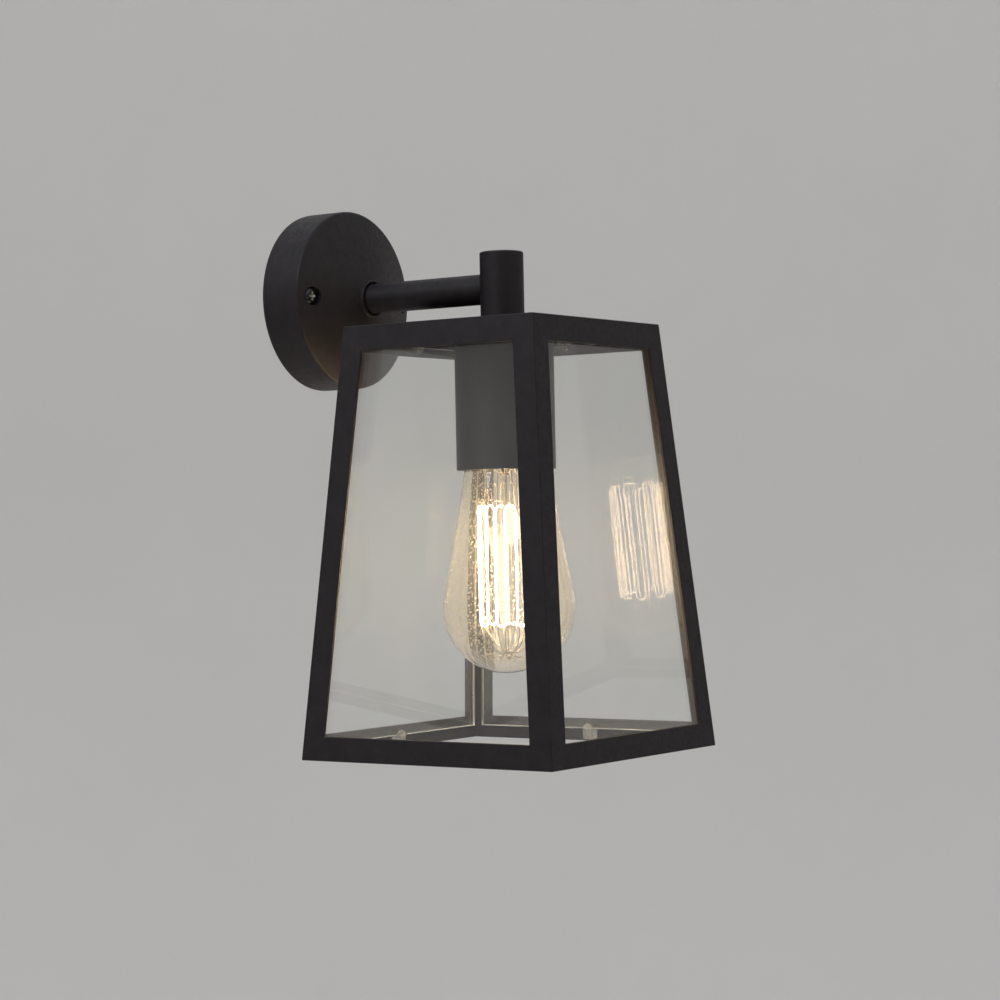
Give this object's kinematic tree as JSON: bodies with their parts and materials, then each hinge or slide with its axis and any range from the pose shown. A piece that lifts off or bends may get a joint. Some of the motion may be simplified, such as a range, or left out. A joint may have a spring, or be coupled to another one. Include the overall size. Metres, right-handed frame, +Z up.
{
  "type": "outdoor wall lantern",
  "caption": "Wall lantern: round canopy and tube arm carry a tapered square glazed cage, open below, with a filament lamp that screws into a lampholder under the roof.",
  "frame": {"origin": "middle of the mounting plate's rear face, on the wall, on the arm's axis", "axes": "+Y into the wall, so the lantern projects towards -Y; +Z up; +X along the wall"},
  "size_m": [0.15, 0.1934, 0.2809],
  "materials": {
    "black_paint": "fine textured matt paint",
    "zinc_steel": "zinc plated",
    "black_rubber": "matt",
    "brass": "satin",
    "dark_steel": "blackened, bright in the recess",
    "support_wire": "drawn wire",
    "white_nylon": "moulded",
    "brown_sleeve": "extruded",
    "blue_sleeve": "extruded",
    "pane_glass": "clear, ground edges",
    "clip_plastic": "clear, moulded",
    "porcelain": "glazed",
    "lamp_glass": "clear, faintly amber",
    "stem_glass": "clear",
    "hot_filament": "glowing",
    "black_glass": "glossy"
  },
  "bodies": {
    "lantern": {"mounting_plate": "zinc_steel", "wall_gasket": "black_rubber", "cable_grommet": "black_rubber", "earth_screw": "brass", "terminal_block": "white_nylon", "terminal_screw_live": "zinc_steel", "terminal_screw_neutral": "zinc_steel", "canopy": "black_paint", "arm_tube": "black_paint", "arm_washer": "zinc_steel", "arm_lock_nut": "zinc_steel", "post_tube": "black_paint", "wire_live": "brown_sleeve", "wire_neutral": "blue_sleeve", "canopy_screw_left": "dark_steel", "screw_seal_left": "black_rubber", "canopy_screw_right": "dark_steel", "screw_seal_right": "black_rubber", "post_cap": "black_paint", "post_bush": "zinc_steel", "roof_plate": "black_paint", "nipple": "zinc_steel", "nipple_nut": "zinc_steel", "lampholder_cup": "black_paint", "lampholder_body": "porcelain", "lampholder_shell": "brass", "lampholder_contact": "brass", "corner_post_front_right": "black_paint", "bottom_rail_front": "black_paint", "top_rail_front": "black_paint", "glass_pane_front": "pane_glass", "glass_clip_bottom_front": "clip_plastic", "glass_clip_top_front": "clip_plastic", "corner_post_back_right": "black_paint", "bottom_rail_right": "black_paint", "top_rail_right": "black_paint", "glass_pane_right": "pane_glass", "glass_clip_bottom_right": "clip_plastic", "glass_clip_top_right": "clip_plastic", "corner_post_back_left": "black_paint", "bottom_rail_back": "black_paint", "top_rail_back": "black_paint", "glass_pane_back": "pane_glass", "glass_clip_bottom_back": "clip_plastic", "glass_clip_top_back": "clip_plastic", "corner_post_front_left": "black_paint", "bottom_rail_left": "black_paint", "top_rail_left": "black_paint", "glass_pane_left": "pane_glass", "glass_clip_bottom_left": "clip_plastic", "glass_clip_top_left": "clip_plastic"},
    "lamp": {"lamp_glass": "lamp_glass", "lamp_stem": "stem_glass", "lamp_support_top": "support_wire", "lamp_support_bottom": "support_wire", "lamp_filament": "hot_filament", "lamp_cap": "brass", "lamp_insulator": "black_glass", "lamp_contact": "brass"}
  },
  "joints": [
    {"name": "lamp_unscrew", "type": "slide", "parent": "lantern", "child": "lamp", "axis": [0, 0, -1], "range_m": [0, 0.05]}
  ]
}
